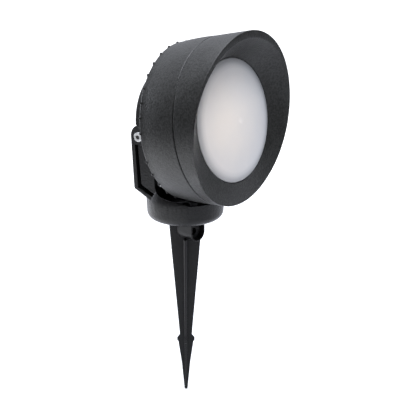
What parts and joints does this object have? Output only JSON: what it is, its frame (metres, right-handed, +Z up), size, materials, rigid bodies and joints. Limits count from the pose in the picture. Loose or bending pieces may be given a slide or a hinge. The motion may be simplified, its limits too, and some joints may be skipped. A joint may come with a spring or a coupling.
{
  "type": "garden spike spotlight",
  "caption": "Garden spotlight on a ground spike: a round hooded head with a frosted glass tilts in a fork whose cup swivels on the spike.",
  "frame": {"origin": "on the spike's axis at the underside of the cup, which is ground level", "axes": "+Z up along the spike, +X the way the beam points, the fork's screws along Y"},
  "size_m": [0.1148, 0.1728, 0.3918],
  "materials": {
    "spike_plastic": "moulded, fine grain",
    "yoke_plastic": "moulded, fine grain",
    "body_plastic": "moulded, grained charcoal",
    "black_plastic": "moulded",
    "black_rubber": "moulded",
    "silicone": "moulded",
    "nylon": "moulded",
    "white_plastic": "moulded",
    "opal": "opal",
    "frosted_glass": "frosted inside",
    "reflector_aluminium": "bright anodised",
    "galvanised": "galvanised",
    "steel": "stainless",
    "brass": "plain"
  },
  "bodies": {
    "spike": {"ground_spike": "spike_plastic", "cable_seal": "black_rubber", "swivel_locknut": "black_plastic", "swivel_washer": "steel"},
    "fork": {"yoke": "yoke_plastic", "swivel_seal": "black_rubber", "pivot_screws": "steel", "pivot_washers": "nylon", "pivot_nuts": "steel"},
    "head": {"rear_housing": "body_plastic", "pivot_bushes": "brass", "head_grommet": "black_rubber", "lamp_bracket": "galvanised", "bracket_screws": "steel", "lamp_holder": "white_plastic", "holder_screws": "steel", "terminal_block": "nylon", "terminal_screws": "brass", "reflector": "reflector_aluminium"},
    "hood": {"hood": "body_plastic", "hood_seal": "black_rubber", "front_glass": "frosted_glass", "glass_gasket": "silicone", "glass_clamp_ring": "black_plastic", "clamp_screws": "steel"},
    "lamp": {"lamp_housing": "white_plastic", "lamp_diffuser": "opal", "lamp_pins": "brass"}
  },
  "joints": [
    {"name": "fork_swivel", "type": "hinge", "parent": "spike", "child": "fork", "pos_m": [0, 0, 0], "axis": [0, 0, 1], "range_deg": [-170, 170]},
    {"name": "head_tilt", "type": "hinge", "parent": "fork", "child": "head", "pos_m": [-0.0323, 0, 0.0869], "axis": [0, -1, 0], "range_deg": [-0.5, 81]},
    {"name": "hood_twist", "type": "hinge", "parent": "head", "child": "hood", "pos_m": [0.00466, 0, 0.102], "axis": [0.9888, 0, 0.1495], "range_deg": [0, 22]},
    {"name": "lamp_twist", "type": "hinge", "parent": "head", "child": "lamp", "pos_m": [0.00466, 0, 0.102], "axis": [0.9888, 0, 0.1495], "range_deg": [0, 15]}
  ]
}
